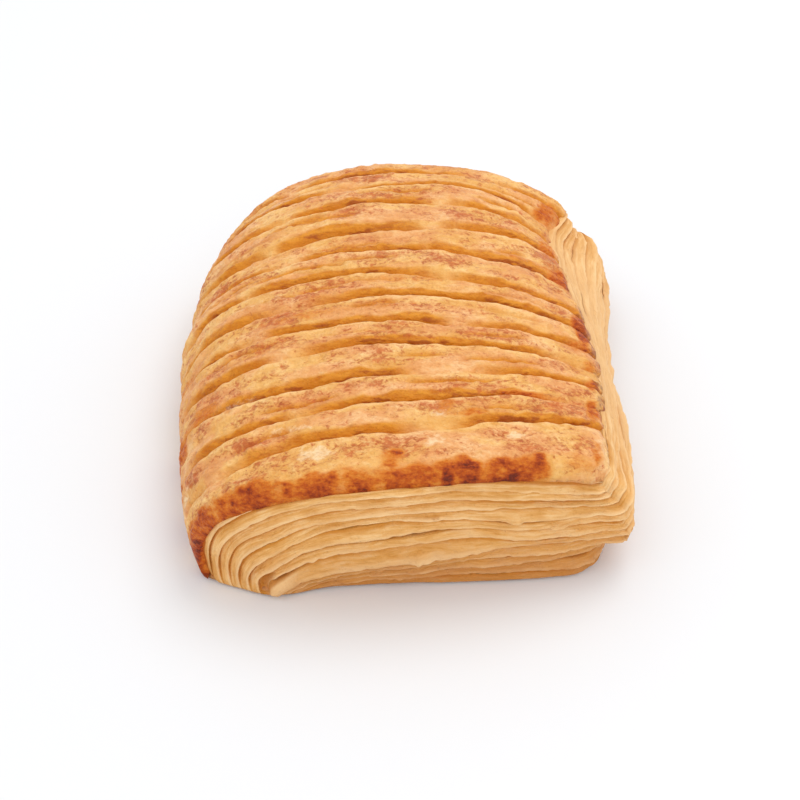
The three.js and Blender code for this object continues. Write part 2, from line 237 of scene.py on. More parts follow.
def spread(spots, across, t, raggedness):
    """How much of any spot lies at a place on the lid. A spot is (across, t, half widths, strength)."""
    most = np.zeros(np.shape(across))
    for middle_across, middle_t, half_across, half_t, strength in spots:
        off = ((across - middle_across) / half_across) ** 2 + ((t - middle_t) / half_t) ** 2
        most = np.maximum(most, strength * (1 - smooth(0, 1.5, off + raggedness)))
    return most


# ---- The shape without its relief --------------------------------------------------------------------


def fall_back(z):
    return np.clip(1 - z / UPRIGHT_HEIGHT, 0, 1) ** LEAN_LAG


def front_y(x, z):
    bow = np.where(x < FRONT_BOW["middle"], FRONT_BOW["towards_fold"], FRONT_BOW["towards_edge"])
    top = -HALF_LENGTH + bow * (np.minimum(x, FRONT_BOW["up_to"]) - FRONT_BOW["middle"]) ** 2
    return mix(top, along(FRONT_FOOT, x), fall_back(z))


def back_y(x, z):
    corner = np.where(x < 0, BACK_BOW["fold_corner"], BACK_BOW["edge_corner"])
    return HALF_LENGTH - corner * np.abs(x / BACK_BOW["reach"]) ** 3 - BACK_LEAN * fall_back(z)


def evenly(x, z, pieces):
    """The same line as so many pieces of equal length."""
    run = np.concatenate([[0], np.cumsum(np.hypot(np.diff(x), np.diff(z)))])
    reach = np.linspace(0, run[-1], pieces + 1)
    return np.interp(reach, run, x), np.interp(reach, run, z)


TRACE = 120  # points on each stretch of a section, before it is divided evenly


def arch(fold_x, tuck, fold_height, roundness, crown_x, edge_x, top_height, pieces):
    """A section's x and z: from the tray round the fold, over the crown, and then to the edge."""
    turn = np.arange(TRACE) / TRACE * np.pi / 2
    out, up = np.cos(turn) ** (2 / roundness), np.sin(turn) ** (2 / roundness)
    top_x = np.linspace(crown_x, edge_x, TRACE + 1)
    x = [fold_x + tuck * (1 - np.sin(turn)), mix(crown_x, fold_x, out), top_x]
    z = [
        mix(FOOT, fold_height, 1 - np.cos(turn)),
        mix(fold_height, top_height(np.array(crown_x, float)), up),
        top_height(top_x),
    ]
    return evenly(np.concatenate(x), np.concatenate(z), pieces)


# ---- The lid -----------------------------------------------------------------------------------------

SECTIONS = 161  # sections along the pastry, between which the lid is taken as straight


class Lid:
    """The lid's surface without its relief, for grids with so many columns across."""

    def __init__(self, columns):
        self.columns = columns
        sections = []
        for t in np.linspace(0, 1, SECTIONS):
            crown_height, edge_x = along(CROWN_HEIGHT, t), along(EDGE_X, t)
            edge_height = along(EDGE_HEIGHT, t)

            def top_height(x):
                fall = np.clip((x - CROWN_X) / (edge_x - CROWN_X), 0, 1) ** LID_FALL
                return mix(crown_height, edge_height, fall)

            fold_x = along(FOLD_X, t)
            sections.append(
                arch(fold_x, FOLD_TUCK, FOLD_HEIGHT, FOLD_ROUNDNESS, CROWN_X, edge_x, top_height, columns)
            )
        self.x, self.z = np.array(sections).transpose(1, 0, 2)
        slope_x, slope_z = np.gradient(self.x, axis=1), np.gradient(self.z, axis=1)
        length = np.hypot(slope_x, slope_z)
        self.out_x, self.out_z = -slope_z / length, slope_x / length

    def at(self, field, column, t):
        place = np.clip(t, 0, 1) * (SECTIONS - 1)
        k = np.minimum(place.astype(int), SECTIONS - 2)
        return mix(field[k, column], field[k + 1, column], place - k)

    def point(self, column, t, out):
        """x, y and z at a column and a share of the length, standing out by so many mm."""
        x, z = self.at(self.x, column, t), self.at(self.z, column, t)
        y = mix(front_y(x, z), back_y(x, z), t)
        return np.stack([x + out * self.at(self.out_x, column, t), y, z + out * self.at(self.out_z, column, t)], -1)


SLIT_WANDER = [(19.0, 0.9), (6.0, 0.25)]  # (length of a bend, mm that it strays) of a slit from its row
SLIT_UNEVEN = 0.35  # by what share its depth varies
WIDTH_ROUND = 142.0  # mm over the lid, from the fold's foot to the open side


def slit_place(row, across):
    """Where each row of slits lies, as a share of the length. Row 0 is the front edge, the last the back."""
    place = np.where(row == 0, 0.0, 1.0)
    for k, (at, _) in enumerate(SLIT_ROWS, start=1):
        round_fold = np.stack([across * WIDTH_ROUND, 0 * across], -1)
        stray = sum(far * lumps(round_fold, length, 40 + k) for length, far in SLIT_WANDER)
        stray = stray / (2 * HALF_LENGTH)
        place = np.where(row == k, along([(0, at[0]), (0.5, at[1]), (1, at[2])], across) + stray, place)
    return place


def slit_depth(row, across):
    depth = np.zeros(np.shape(across))
    for k, (_, cuts) in enumerate(SLIT_ROWS, start=1):
        here = np.full(np.shape(across), CREASE)
        for start, end, deep in cuts:
            off = (2 * across - start - end) / (end - start)
            here = np.maximum(here, deep * np.clip(1 - off * off, 0, 1))
        here = here * (1 + SLIT_UNEVEN * lumps(np.stack([across * WIDTH_ROUND, 0 * across], -1), 9.0, 80 + k))
        depth = np.where(row == k, SLIT_SCALE * here, depth)
    return depth


def strip_relief(strip, share, across):
    rise = mix(1 - smooth(0, STRIP_RISE, share), 1 - smooth(*FAR_WALL, share), WALL_SHARE)
    climb = slit_depth(strip, across) * rise
    drop = slit_depth(strip + 1, across) * smooth(*NEAR_WALL, share)
    swell = STRIP_SWELL * mix(0.3, 1.6, draws(np.asarray(strip)[..., None], 90))
    swell = swell * (1 + 0.5 * lumps(np.stack([across * WIDTH_ROUND, strip * 40.0], -1), 24.0, 91))
    return swell * (1 - np.abs(2 * share**0.8 - 1) ** 3) - climb - drop


def creases(strip, share, across):
    """Short shallow cuts in the middle of the strips: crisp at the near side, sloping up at the far side."""
    low = np.zeros(np.shape(across))
    for at_strip, at_share, middle, half, deep in HALF_CUTS:
        off = (across - middle) / half
        depth = deep * np.sqrt(np.clip(1 - off * off, 0, 1))
        line = at_share + 0.05 * lumps(np.stack([across * WIDTH_ROUND, 0 * across], -1), 6.0, int(at_share * 1000))
        past = share - line
        cut = smooth(-CUT_LENGTH[0], 0, past) * (1 - smooth(0, CUT_LENGTH[1], past))
        low = np.where(strip == at_strip, np.maximum(low, depth * cut), low)
    return low


def end_roll(t):
    off = 1 - np.clip(np.minimum(t, 1 - t) * 2 * HALF_LENGTH / END_ROLL_LENGTH, 0, 1)
    return END_ROLL * (1 - np.sqrt(1 - off * off))


# Short cuts: (strip, share of the strip, middle and half length as shares of the width, depth).
HALF_CUT_DRAW = np.random.default_rng(7)
HALF_CUTS = [
    (
        strip,
        HALF_CUT_DRAW.uniform(0.4, 0.68),
        HALF_CUT_DRAW.uniform(0.05, 0.95) ** 1.3,
        HALF_CUT_DRAW.uniform(0.04, 0.12),
        HALF_CUT_DRAW.uniform(0.3, 1.0),
    )
    for strip in range(1, STRIPS)
    for _ in range(4)
]
CUT_LENGTH = (0.05, 0.26)  # share of a strip on the crisp side and on the sloping side

# Finer relief on the lid, as (size of the features, height, seed).
LID_LUMPS = [(11.0, 0.45, 1), (5.0, 0.34, 2), (2.4, 0.2, 3), (1.3, 0.12, 4)]
STREAK = (9.0, 1.3, 0.18)  # folds in the skin along a strip: length, width and height
FOLD_STREAKS = (16.0, 1.7, 0.5)  # and the longer ones where the lid comes round from the fold
BLISTER = (3.4, 0.34, 0.3)  # cell, share of the cells with one, and height
PIMPLE = (1.5, 0.4, 0.13)
BRINK_RAGGED = (1.8, 0.16)  # size and height of the tatters along a strip's far brink
DRAPE = (0.95, 0.3, 2.4)  # the lid's skin hangs over its rim: mm on average, unevenness, and length
DRAPE_FROM = 0.05  # share of the lid's width over which that sets in, up from the fold's foot
SIDE_DRAPE = (13.0, 0.7)  # and it hangs lower in places along the open side: length and mm
LIP = 0.3  # a strip's skin curls up by this much before it drops into a slit
NOTCH = 0.8  # the strips' ends at the open side are rounded back by this much between two strips
NOTCH_FROM = 0.955  # and this share of the lid's width is where that begins


DEEP = 2.25  # a slit this deep shows its full colour
FLANK = (0.16, 0.4)  # shares of a strip between which the slit's colour gives way to the lid's
SLITS_SHOW = (0.06, 0.3)  # shares of the width between which that colour comes in, up from the fold
SCALLOP_RIM = (0.965, 0.996)  # shares of the width over which the strips' ends are browned
CORNER_RADIUS = 4.5  # of the two corners at the open side, seen from above


def round_corners(points, bare, edge_x, radius=CORNER_RADIUS):
    """Points near the open side's two corners, drawn in so that the outline turns them in an arc."""
    ends = (front_y(bare[..., 0], bare[..., 2]), back_y(bare[..., 0], bare[..., 2]))
    points = points.copy()
    for end_y, way in zip(ends, (1, -1)):
        a = 1 - np.clip((edge_x - bare[..., 0]) / radius, 0, 1)
        b = 1 - np.clip(way * (bare[..., 1] - end_y) / radius, 0, 1)
        drawn = 1 - np.maximum(a, b) / np.maximum(np.hypot(a, b), 0.001)
        drawn = np.where((a > 0) & (b > 0), drawn, 0) * radius
        points[..., 0] -= a * drawn
        points[..., 1] += way * b * drawn
    return points


def lid_surface(lid, strip, share, column):
    """Points on the lid, with the values that its finish reads."""
    across = column / lid.columns
    t = mix(slit_place(strip, across), slit_place(strip + 1, across), share)
    t = np.clip(t, 0, 1)
    flat = np.stack([across * WIDTH_ROUND, t * 2 * HALF_LENGTH], -1)
    bare = lid.point(column, t, 0 * t)

    ground = sum(height * lumps(bare, size, seed) for size, height, seed in LID_LUMPS)
    streaks = STREAK[2] * lumps(flat / np.array(STREAK[:2]), 1.0, 5)
    long_streaks = FOLD_STREAKS[2] * lumps(flat / np.array(FOLD_STREAKS[:2]), 1.0, 6)
    streaks = streaks + long_streaks * (1 - smooth(0.2, 0.5, across))
    rises = BLISTER[2] * blisters(flat, BLISTER[0], BLISTER[1], 11) ** 0.7
    rises = rises + PIMPLE[2] * blisters(flat, PIMPLE[0], PIMPLE[1], 21) ** 0.7
    depth_behind = slit_depth(strip + 1, across)
    curl = LIP * np.clip(depth_behind / 2, 0, 1) * smooth(0.68, 0.9, share) * (1 - smooth(0.9, 0.97, share))
    fine = ground + streaks + rises * smooth(0.1, 0.3, share) * (1 - smooth(0.85, 0.95, share)) + curl

    fade = smooth(0, SLITS_FROM, across)
    near_end = np.minimum(t, 1 - t) * 2 * HALF_LENGTH
    cut = creases(strip, share, across)
    out = (strip_relief(strip, share, across) - cut - end_roll(t)) * fade
    out = out + fine * mix(0.3, 1, fade) * mix(0.35, 1, smooth(0, 4, near_end))
    points = lid.point(column, t, out)
    brink = np.clip(depth_behind / 2.5, 0, 1) * smooth(0.7, 0.92, share) * (1 - smooth(0.93, 0.975, share))
    points[..., 1] += LEAN_OVER * brink * fade
    tatters = BRINK_RAGGED[1] * lumps(flat, BRINK_RAGGED[0], 35) * smooth(0.82, 0.92, share) * fade
    points[..., 2] += tatters * (1 - smooth(0.97, 1, share)) * np.clip(depth_behind, 0, 1)
    hang = DRAPE[0] + DRAPE[1] * (0.6 * lumps(flat, 7.0, 36) + 0.4 * lumps(flat, 2.5, 38))
    hang = hang + SIDE_DRAPE[1] * (1 + lumps(flat, SIDE_DRAPE[0], 39)) * smooth(0.9, 1, across)
    near_rim = np.minimum(near_end, (1 - across) * WIDTH_ROUND)
    points[..., 2] -= hang * (1 - smooth(0, DRAPE[2], near_rim)) * smooth(0, DRAPE_FROM, across)
    notch = NOTCH * np.abs(2 * share - 1) ** 3 * smooth(NOTCH_FROM, 1, across)
    notch = np.where((strip == 0) & (share < 0.5) | (strip == STRIPS - 1) & (share > 0.5), 0, notch)
    points[..., 0] -= notch
    points = round_corners(points, bare, lid.point(lid.columns + 0 * column, t, 0 * t)[..., 0])

    open_slit = np.clip(slit_depth(strip, across) / DEEP, 0, 1)
    flank = open_slit * (1 - smooth(*FLANK, share + 0.07 * lumps(flat, 5.0, 37)))
    flank = np.maximum(flank, 0.8 * cut)
    open_behind = np.clip(depth_behind / DEEP, 0, 1)
    shown = smooth(*SLITS_SHOW, across)
    values = {
        "flank": flank * shown,
        # The slits' bottoms, which the crust's finish darkens: partly their baked colour, partly painted shade.
        "crack": (open_slit * (1 - smooth(0.1, 0.26, share)) + open_behind * smooth(0.965, 1, share)) * shown,
        # Where the crust's finish paints a highlight: the pale far brink of a strip.
        "brink": open_behind * smooth(0.8, 0.9, share) * (1 - smooth(0.94, 0.975, share)) * shown,
        "rim": smooth(*SCALLOP_RIM, across) * smooth(0.08, 0.16, t) * (1 - smooth(0.5, 0.8, t)),
        "ridge": smooth(0.2, 0.45, share) * (1 - smooth(0.85, 0.97, share)),
        "rise": np.clip(rises / BLISTER[2], 0, 1),
        "toast": spread(TOASTED, across, t, 0.5 * lumps(bare, 5.0, 31) + 0.45 * lumps(bare, 2.2, 32)),
        "pale": spread(PALE, across, t, 0.5 * lumps(bare, 3.0, 33) + 0.6 * lumps(bare, 1.3, 34)),
    }
    return points, values


# Places that the oven browned more, and others that stayed pale, on the lid:
# (share of the width, share of the length, their half widths, strength).
TOASTED = [
    (0.03, 0.0, 0.12, 0.034, 1.0),
    (0.17, 0.0, 0.16, 0.027, 0.86),
    (0.3, 0.0, 0.16, 0.027, 0.9),
    (0.44, 0.0, 0.16, 0.026, 0.88),
    (0.54, 0.002, 0.12, 0.029, 0.95),
    (0.58, 0.034, 0.03, 0.024, 0.8),
    (0.67, 0.0, 0.1, 0.018, 0.8),
    (0.77, 0.0, 0.13, 0.028, 1.1),
    (0.85, 0.006, 0.045, 0.026, 1.0),
    (0.93, 0.02, 0.05, 0.02, 0.35),
    (0.05, 0.13, 0.07, 0.05, 0.95),
    (0.1, 0.21, 0.07, 0.04, 0.7),
    (0.05, 0.3, 0.05, 0.05, 0.6),
    (0.2, 0.25, 0.07, 0.022, 0.5),
    (0.14, 0.4, 0.05, 0.02, 0.35),
    (0.73, 0.135, 0.035, 0.012, 0.6),
    (0.69, 0.15, 0.02, 0.02, 0.5),
    (0.84, 0.185, 0.06, 0.01, 0.75),
    (0.975, 0.42, 0.022, 0.06, 1.0),
    (0.96, 0.36, 0.04, 0.02, 0.7),
    (0.975, 0.17, 0.02, 0.03, 0.7),
    (0.975, 0.245, 0.02, 0.02, 0.7),
    (0.975, 0.045, 0.018, 0.03, 0.6),
    (0.975, 0.31, 0.018, 0.016, 0.6),
    (0.97, 0.6, 0.03, 0.05, 0.75),
    (0.97, 0.72, 0.025, 0.04, 0.7),
    (0.97, 0.9, 0.035, 0.05, 0.65),
    (0.9, 0.62, 0.07, 0.012, 0.4),
    (0.5, 0.43, 0.16, 0.012, 0.35),
    (0.62, 0.51, 0.14, 0.012, 0.3),
]
PALE = [
    (0.66, 0.07, 0.03, 0.016, 0.9),
    (0.445, 0.065, 0.035, 0.02, 0.9),
    (0.81, 0.075, 0.025, 0.01, 0.8),
    (0.68, 0.14, 0.03, 0.012, 0.6),
    (0.4, 0.13, 0.05, 0.012, 0.6),
    (0.3, 0.23, 0.06, 0.012, 0.6),
    (0.1, 0.085, 0.06, 0.026, 1.0),
    (0.36, 0.5, 0.07, 0.012, 0.5),
    (0.5, 0.72, 0.08, 0.012, 0.4),
    (0.985, 0.07, 0.02, 0.03, 0.7),
]

# ---- The layers' edges: front end, open side and back end, as one band -------------------------------


def line_size(down, pick):
    """A layer line's entry for a share of the way down from the lid, between two lines where need be."""
    sizes = [pick(line) for line in LAYER_LINES]
    return np.interp(down * LAYERS, np.arange(LAYERS + 1), sizes)


class Band:
    """The band without its relief, with so many columns on the front, the open side and the back."""

    def __init__(self, downs, columns, lid_edge):
        front, side, back = columns
        self.corners = (front, front + side)
        self.round = np.concatenate(
            [
                np.arange(front) / front,
                1 + np.arange(side) / side,
                2 + np.arange(back + 1) / back,
            ]
        )
        t_side = lid_edge["t"]
        rows = []
        for down in downs:
            front_x, front_z = self.end_line(down, 0, lid_edge, front)
            back_x, back_z = self.end_line(down, 1, lid_edge, back)
            side_x, side_z = self.side_point(down, t_side, lid_edge["x"], lid_edge["z"])
            x = np.concatenate([front_x[:-1], side_x[:-1], back_x[::-1]])
            z = np.concatenate([front_z[:-1], side_z[:-1], back_z[::-1]])
            t = np.concatenate([np.zeros(front), t_side[:-1], np.ones(back + 1)])
            rows.append([x, mix(front_y(x, z), back_y(x, z), t), z])
        self.rows = np.array(rows).transpose(0, 2, 1)

    @staticmethod
    def side_point(down, t, edge_x, edge_z):
        share = line_size(down, lambda line: line[2])
        x = mix(edge_x, along(BULGE_X, t), along(SIDE_OUT, down))
        return x, mix(FOOT, edge_z, share)

    def end_line(self, down, t, lid_edge, pieces):
        corner = 0 if t == 0 else -1
        edge_x, edge_z = lid_edge["x"][corner], lid_edge["z"][corner]
        edge_x, edge_height = self.side_point(down, np.array(float(t)), edge_x, edge_z)
        rise = (along(CROWN_HEIGHT, t) - END_ROLL) / (along(CROWN_HEIGHT, 0) - END_ROLL)
        heights = [
            (x, max(FOOT, rise * line_size(down, lambda line: line[1][i])))
            for i, x in enumerate(LINE_PLACES)
        ]
        heights.append((edge_x, edge_height))
        return arch(
            line_size(down, lambda line: line[0]),
            along(LINE_TUCK, down),
            min(heights[0][1], along(LINE_FOLD_HEIGHT, down)),
            along(LINE_ROUNDNESS, down),
            LINE_PLACES[0],
            edge_x,
            lambda x: along(heights, x),
            pieces,
        )


def outwards(turn):
    """The way that the band faces, as x and y, at a place round it."""
    x = smooth(1 - CORNER, 1, turn) * (1 - smooth(2, 2 + CORNER, turn))
    y = smooth(2 - CORNER, 2, turn) - 1 + smooth(1, 1 + CORNER, turn)
    return x, y


# Finer relief on the layers' edges.
LIP_SHARES = (0.3, 1.25)  # weakest and strongest share of LAYER_PROFILE along an edge
TRAY_CALM = (0.8, 4.0, 0.3)  # below these heights the relief calms down to this share, on the tray
EDGE_WANDER = 0.32  # mm that an edge strays up and down
SUB_LAYERS = (3, 0.22)  # thinner sheets in a layer, and how far they stand out
CRUMB_LUMPS = [(6.0, 0.35, 61), (2.2, 0.16, 62), (1.1, 0.1, 63)]
RAGGED_LIP = (2.1, 0.26, 0.16)  # how a lip is torn: length, and mm outwards and up
# Cracks along a line on the front end: (line, x from, x to, depth).
CRACKS = [
    (6, -7, 14, 4.2),
    (6, -26, -3, 1.8),
    (7, -31, -22, 1.3),
    (5, 20, 44, 1.2),
    (9, 2, 30, 1.0),
    (10, 30, 50, 1.4),
]
CRACK_HEIGHT = 0.17  # share of a layer, above and below the line
# The inner end of the folded sheet shows as a rounded nose: its layer, x, length and how far it stands out.
NOSE = (7, -29.5, 5.0, 1.5)
NOSE_HOLLOW = (6, -33.5, 3.2, 1.5)  # and the hollow beside it
# Torn scraps of dough along a lip on the front end: (layer, x, half length, how far they stand out).
SCRAPS = [(4, 27.0, 2.6, 0.9), (5, 39.0, 2.2, 0.8), (7, 5.5, 3.0, 1.0)]
SCRAP_TORN = (0.9, 0.6)  # size of the tatters along a scrap, and by what share they vary it
SCORCH = 0.035  # share of the way down over which the lid's browning runs on to the layers
DROOP = (15.0, 0.5, 1.1)  # how the layers sag: length, and height at the ends and at the open corner
TOP_TUCK = (1.0, 0.5)  # the band's top edge lies this far inside and below the lid's rim
TOP_RUN = 0.3  # share of the first layer over which it comes out from there
UNDER_RIM = (1.1, 0.5, 1.4)  # mm that it is drawn in under the lid's hanging skin, and layers over which that ends
SIDE_SAG = (9.0, 0.6)  # the layers' shorter waves at the open side: length and height
FOOT_CORNER = (9.0, 0.72, 0.9)  # radius of the lowest sheets' corners, and where it sets in on the way down


def scorch(turn, down, place):
    """How brown the layers are just under a browned stretch of the lid."""
    across = np.clip(turn, 0, 1)
    browned = spread(TOASTED, across, 0 * across, 0.4 * lumps(place, 5.0, 55))
    reach = SCORCH * (1 + 0.8 * lumps(place, 3.5, 56))
    return browned * (1 - smooth(0.1 * reach, reach, down)) * (turn < 1)


def front_features(x, layer, share, turn):
    """What stands out or is sunk at single places on the front end, in mm: all of it, its cracks, nose and hollow."""
    crack = np.zeros(np.shape(x))
    for line, start, end, deep in CRACKS:
        off = (2 * x - start - end) / (end - start)
        deep = deep * np.sqrt(np.clip(1 - off * off, 0, 1))
        above = np.where(layer == line - 1, smooth(1 - CRACK_HEIGHT, 1, share), 0)
        below = np.where(layer == line, 1 - smooth(0, CRACK_HEIGHT, share), 0)
        crack = np.maximum(crack, deep * (above + below))
    crack = np.where(turn < 1, crack, 0)
    round_over = np.sqrt(np.clip(1 - (2 * share - 1) ** 4, 0, 1))
    swollen = []
    for at_layer, middle, length, out in (NOSE, NOSE_HOLLOW):
        near = 1 - np.clip(np.abs(x - middle) / length, 0, 1) ** 2
        swollen.append(np.where((layer == at_layer) & (turn < 1), out * near * round_over, 0))
    nose, hollow = swollen
    relief = nose - hollow - crack
    torn = 1 + SCRAP_TORN[1] * lumps(np.stack([x, 2 * share], -1), SCRAP_TORN[0], 66)
    tip = smooth(0.45, 0.85, share) * (1 - smooth(0.95, 1, share))
    for at_layer, middle, half, out in SCRAPS:
        near = np.sqrt(np.clip(1 - ((x - middle) / half) ** 2, 0, 1))
        relief = relief + np.where((layer == at_layer) & (turn < 1), out * near * torn * tip, 0)
    return relief, crack, nose / NOSE[3], hollow / NOSE_HOLLOW[3]


def layer_surface(band, row, down, column):
    """Points on the band, with the values that its finish reads."""
    turn = band.round[column]
    bare = band.rows[row, column]
    layer = np.minimum((down * LAYERS).astype(int), LAYERS - 1)
    share = down * LAYERS - layer
    on_side = smooth(1, 1 + FRAY_ONSET, turn) * (1 - smooth(2 - FRAY_ONSET, 2, turn))
    loose = mix(1, mix(FRAY_TOP[0], 1, smooth(*FRAY_TOP[1:], down)), on_side)
    stagger = mix(LAYER_STAGGER, FRAY, on_side) * loose * wave(layer, LAYER_WAVES * turn)

    place = np.stack([turn * 130, layer * 50.0], -1)
    strength = mix(*LIP_SHARES, 0.5 + 0.5 * lumps(place, 14.0, 51)) * mix(1, loose, 0.8)
    profile = np.interp(share, *np.array(LAYER_PROFILE).T) * strength
    sheets, stand = SUB_LAYERS
    thin = share * sheets + 0.35 * lumps(place, 17.0, 52)
    thin = (thin - np.floor(thin) - 0.5) * stand * np.clip(0.5 + lumps(place, 21.0, 53), 0, 1)
    ground = sum(height * lumps(bare, size, seed) for size, height, seed in CRUMB_LUMPS)

    calm = smooth(0, FOLD_CALM, turn) * (1 - smooth(3 - FOLD_CALM, 3, turn))
    first = np.where(layer == 0, FIRST_LAYER, 1) * smooth(0, 0.5 / LAYERS, down)
    features, crack, nose, hollow = front_features(bare[..., 0], layer, share, turn)
    at_lip = smooth(0.6, 0.88, share) * (1 - smooth(0.97, 1, share)) * strength
    torn = RAGGED_LIP[1] * at_lip * lumps(place * [1, 0.3], RAGGED_LIP[0], 64)
    relief = (profile + thin + stagger + torn) * first * calm + ground * mix(0.3, 1, calm)
    relief = relief * mix(TRAY_CALM[2], 1, smooth(*TRAY_CALM[:2], bare[..., 2]))
    relief = relief + features * smooth(FOOT, 2 * FOOT, bare[..., 2])
    relief = relief - UNDER_RIM[0] * (1 - smooth(UNDER_RIM[1], UNDER_RIM[2], down * LAYERS))
    top = 1 - smooth(0, TOP_RUN / LAYERS, down)
    relief = relief * (1 - top) - TOP_TUCK[0] * top
    out_x, out_y = outwards(turn)
    points = bare.copy()
    points[..., 0] += relief * out_x
    points[..., 1] += relief * out_y
    corner_x = np.where(turn <= 1.5, band.rows[row, band.corners[0]][..., 0], band.rows[row, band.corners[1]][..., 0])
    side_x = np.where((turn > 1) & (turn < 2), bare[..., 0], corner_x)
    radius = mix(CORNER_RADIUS, FOOT_CORNER[0], smooth(*FOOT_CORNER[1:], down))
    points = round_corners(points, bare, side_x, radius)
    wander = EDGE_WANDER * lumps(np.stack([turn * 130, down * 30], -1), 9.0, 54)
    sag = mix(DROOP[1], DROOP[2], smooth(0.8, 1.0, turn)) * lumps(place, DROOP[0], 57)
    sag = (sag + SIDE_SAG[1] * on_side * lumps(place * [1, 0.8], SIDE_SAG[0], 67)) * loose
    frayed = RAGGED_LIP[2] * at_lip * lumps(place * [1, 0.3], RAGGED_LIP[0], 65)
    wander = (wander + sag + frayed) * calm * smooth(0, 0.12, down) * (1 - smooth(0.93, 1, down))
    points[..., 2] += wander - TOP_TUCK[1] * top
    points[..., 2] = np.maximum(points[..., 2], FOOT * 0.6)
    values = {
        # Where the finish paints shade: a layer drawn in under the one above, its undercut, and the hollow beside the
        # nose.
        "recess_shade": np.maximum(
            (1 - smooth(0, mix(0.26, 0.42, smooth(0, 0.4, turn)), share)) + smooth(0.94, 1, share), hollow
        ),
        # Where the finish paints a highlight: each layer's outstanding lip, and the nose.
        "lip_highlight": np.maximum(smooth(0.55, 0.85, share) * (1 - smooth(0.92, 0.98, share)) * strength, nose),
        # Where the finish paints shadow: the open cracks along the lines on the front end.
        "crack": np.clip(crack / 2, 0, 1),
        "scorch": scorch(turn, down, place),
        "down": down,
        "side": on_side,
        "along_layer": turn * 130,
        "layer_count": down * LAYERS + 0.1 * lumps(place, 10.0, 58),
    }
    return points, values


# ---- The underside ------------------------------------------------------------------------------------

FOOT_INSET = 0.97  # the flat underside, as a share of the outline above it
BASE_HEIGHT = 2.2  # of the hidden top of the baked bottom sheet
BASE_ROUND = 0.03  # share of its width over which its rim rounds up from the tray
TRAY_HOLLOWS = [(14.0, 0.35, 71), (5.0, 0.2, 72)]  # the bottom lies hollow between its contact spots


def base_surface(across, t):
    """Points on the bottom of the pastry, with the values that its finish reads."""
    left = along(FOLD_X, t) + FOLD_TUCK
    right = mix(along(EDGE_X, t), along(BULGE_X, t), SIDE_OUT[-1][1])
    rim = np.minimum(np.minimum(across, 1 - across), np.minimum(t, 1 - t))
    x = mix(left, right, across)
    y = mix(front_y(x, FOOT), back_y(x, FOOT), t)
    inset = mix(0.995, FOOT_INSET, smooth(0, BASE_ROUND, rim))
    hollow = sum(height * lumps(np.stack([x, y], -1), size, seed) for size, height, seed in TRAY_HOLLOWS)
    z = FOOT * (1 - smooth(0, BASE_ROUND, rim)) + np.clip(hollow, 0, None) * smooth(0, 0.1, rim)
    values = {"rim": 1 - smooth(0, 0.12, rim), "hollow": np.clip(hollow * 2, 0, 1)}
    bare = np.stack([x, y, np.full(np.shape(x), FOOT)], -1)
    points = round_corners(bare, bare, right, FOOT_CORNER[0]) * [1, 1, 0]
    return points * inset[..., None] + np.stack([0 * z, 0 * z, z], -1), values


# ---- Making meshes -----------------------------------------------------------------------------------


def placed(points):
    """Points in the frame's metres, kept inside the box of the solid."""
    moved = (np.asarray(points) - np.array([*BOX_MIDDLE, 0.0])) * MM
    return np.clip(moved, np.array(cad_box[0]), np.array(cad_box[1]))


def skin(columns, rows, surface):
    """A grid whose points go where surface(column, row) says, with its values as attributes."""
    bm = bmesh.new()
    bmesh.ops.create_grid(bm, x_segments=columns, y_segments=rows, size=0.5)
    mesh = bpy.data.meshes.new("skin")
    bm.to_mesh(mesh)
    bm.free()
    flat = np.empty(3 * len(mesh.vertices))
    mesh.vertices.foreach_get("co", flat)
    column, row = (flat.reshape(-1, 3)[:, :2].T + 0.5) * [[columns], [rows]]
    points, values = surface(np.rint(column).astype(int), np.rint(row).astype(int))
    mesh.vertices.foreach_set("co", placed(points).ravel())
    for key, amounts in values.items():
        mesh.attributes.new(key, "FLOAT", "POINT").data.foreach_set("value", np.asarray(amounts, float))
    return mesh


def piece(name, outer, inner, material):
    """A closed piece from its outer and its inner skin, joined round their rims."""
    bm = bmesh.new()
    bm.from_mesh(inner)
    bmesh.ops.reverse_faces(bm, faces=bm.faces[:])
    bm.from_mesh(outer)
    bmesh.ops.bridge_loops(bm, edges=[edge for edge in bm.edges if edge.is_boundary])
    if bm.calc_volume(signed=True) < 0:
        bmesh.ops.reverse_faces(bm, faces=bm.faces[:])
    for face in bm.faces:
        face.smooth = True
    mesh = bpy.data.meshes.new(name)
    bm.to_mesh(mesh)
    bm.free()
    mesh.materials.append(material)
    made = bpy.data.objects.new(name, mesh)
    bpy.context.scene.collection.objects.link(made)
    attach(made, "root")
    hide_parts("pastry")
    return made


# ---- The pieces ---------------------------------------------------------------------------------------

LID_COLUMNS, LID_COARSE = 280, 56
STRIP_SHARES = np.concatenate(
    [np.linspace(0, 0.2, 7)[:-1], np.linspace(0.2, 0.86, 12)[:-1], np.linspace(0.86, 1, 8)[:-1]]
)
COARSE_SHARES = np.array([0, 0.25, 0.5, 0.75])
RIM_THICKNESS, CORE_THICKNESS = 1.6, 6.0  # of the lid at its rim and further in


def strip_rows(shares):
    """The strip and the share of it for each row of a grid over the lid."""
    strips = np.repeat(np.arange(STRIPS), len(shares))
    return np.append(strips, STRIPS - 1), np.append(np.tile(shares, STRIPS), 1.0)


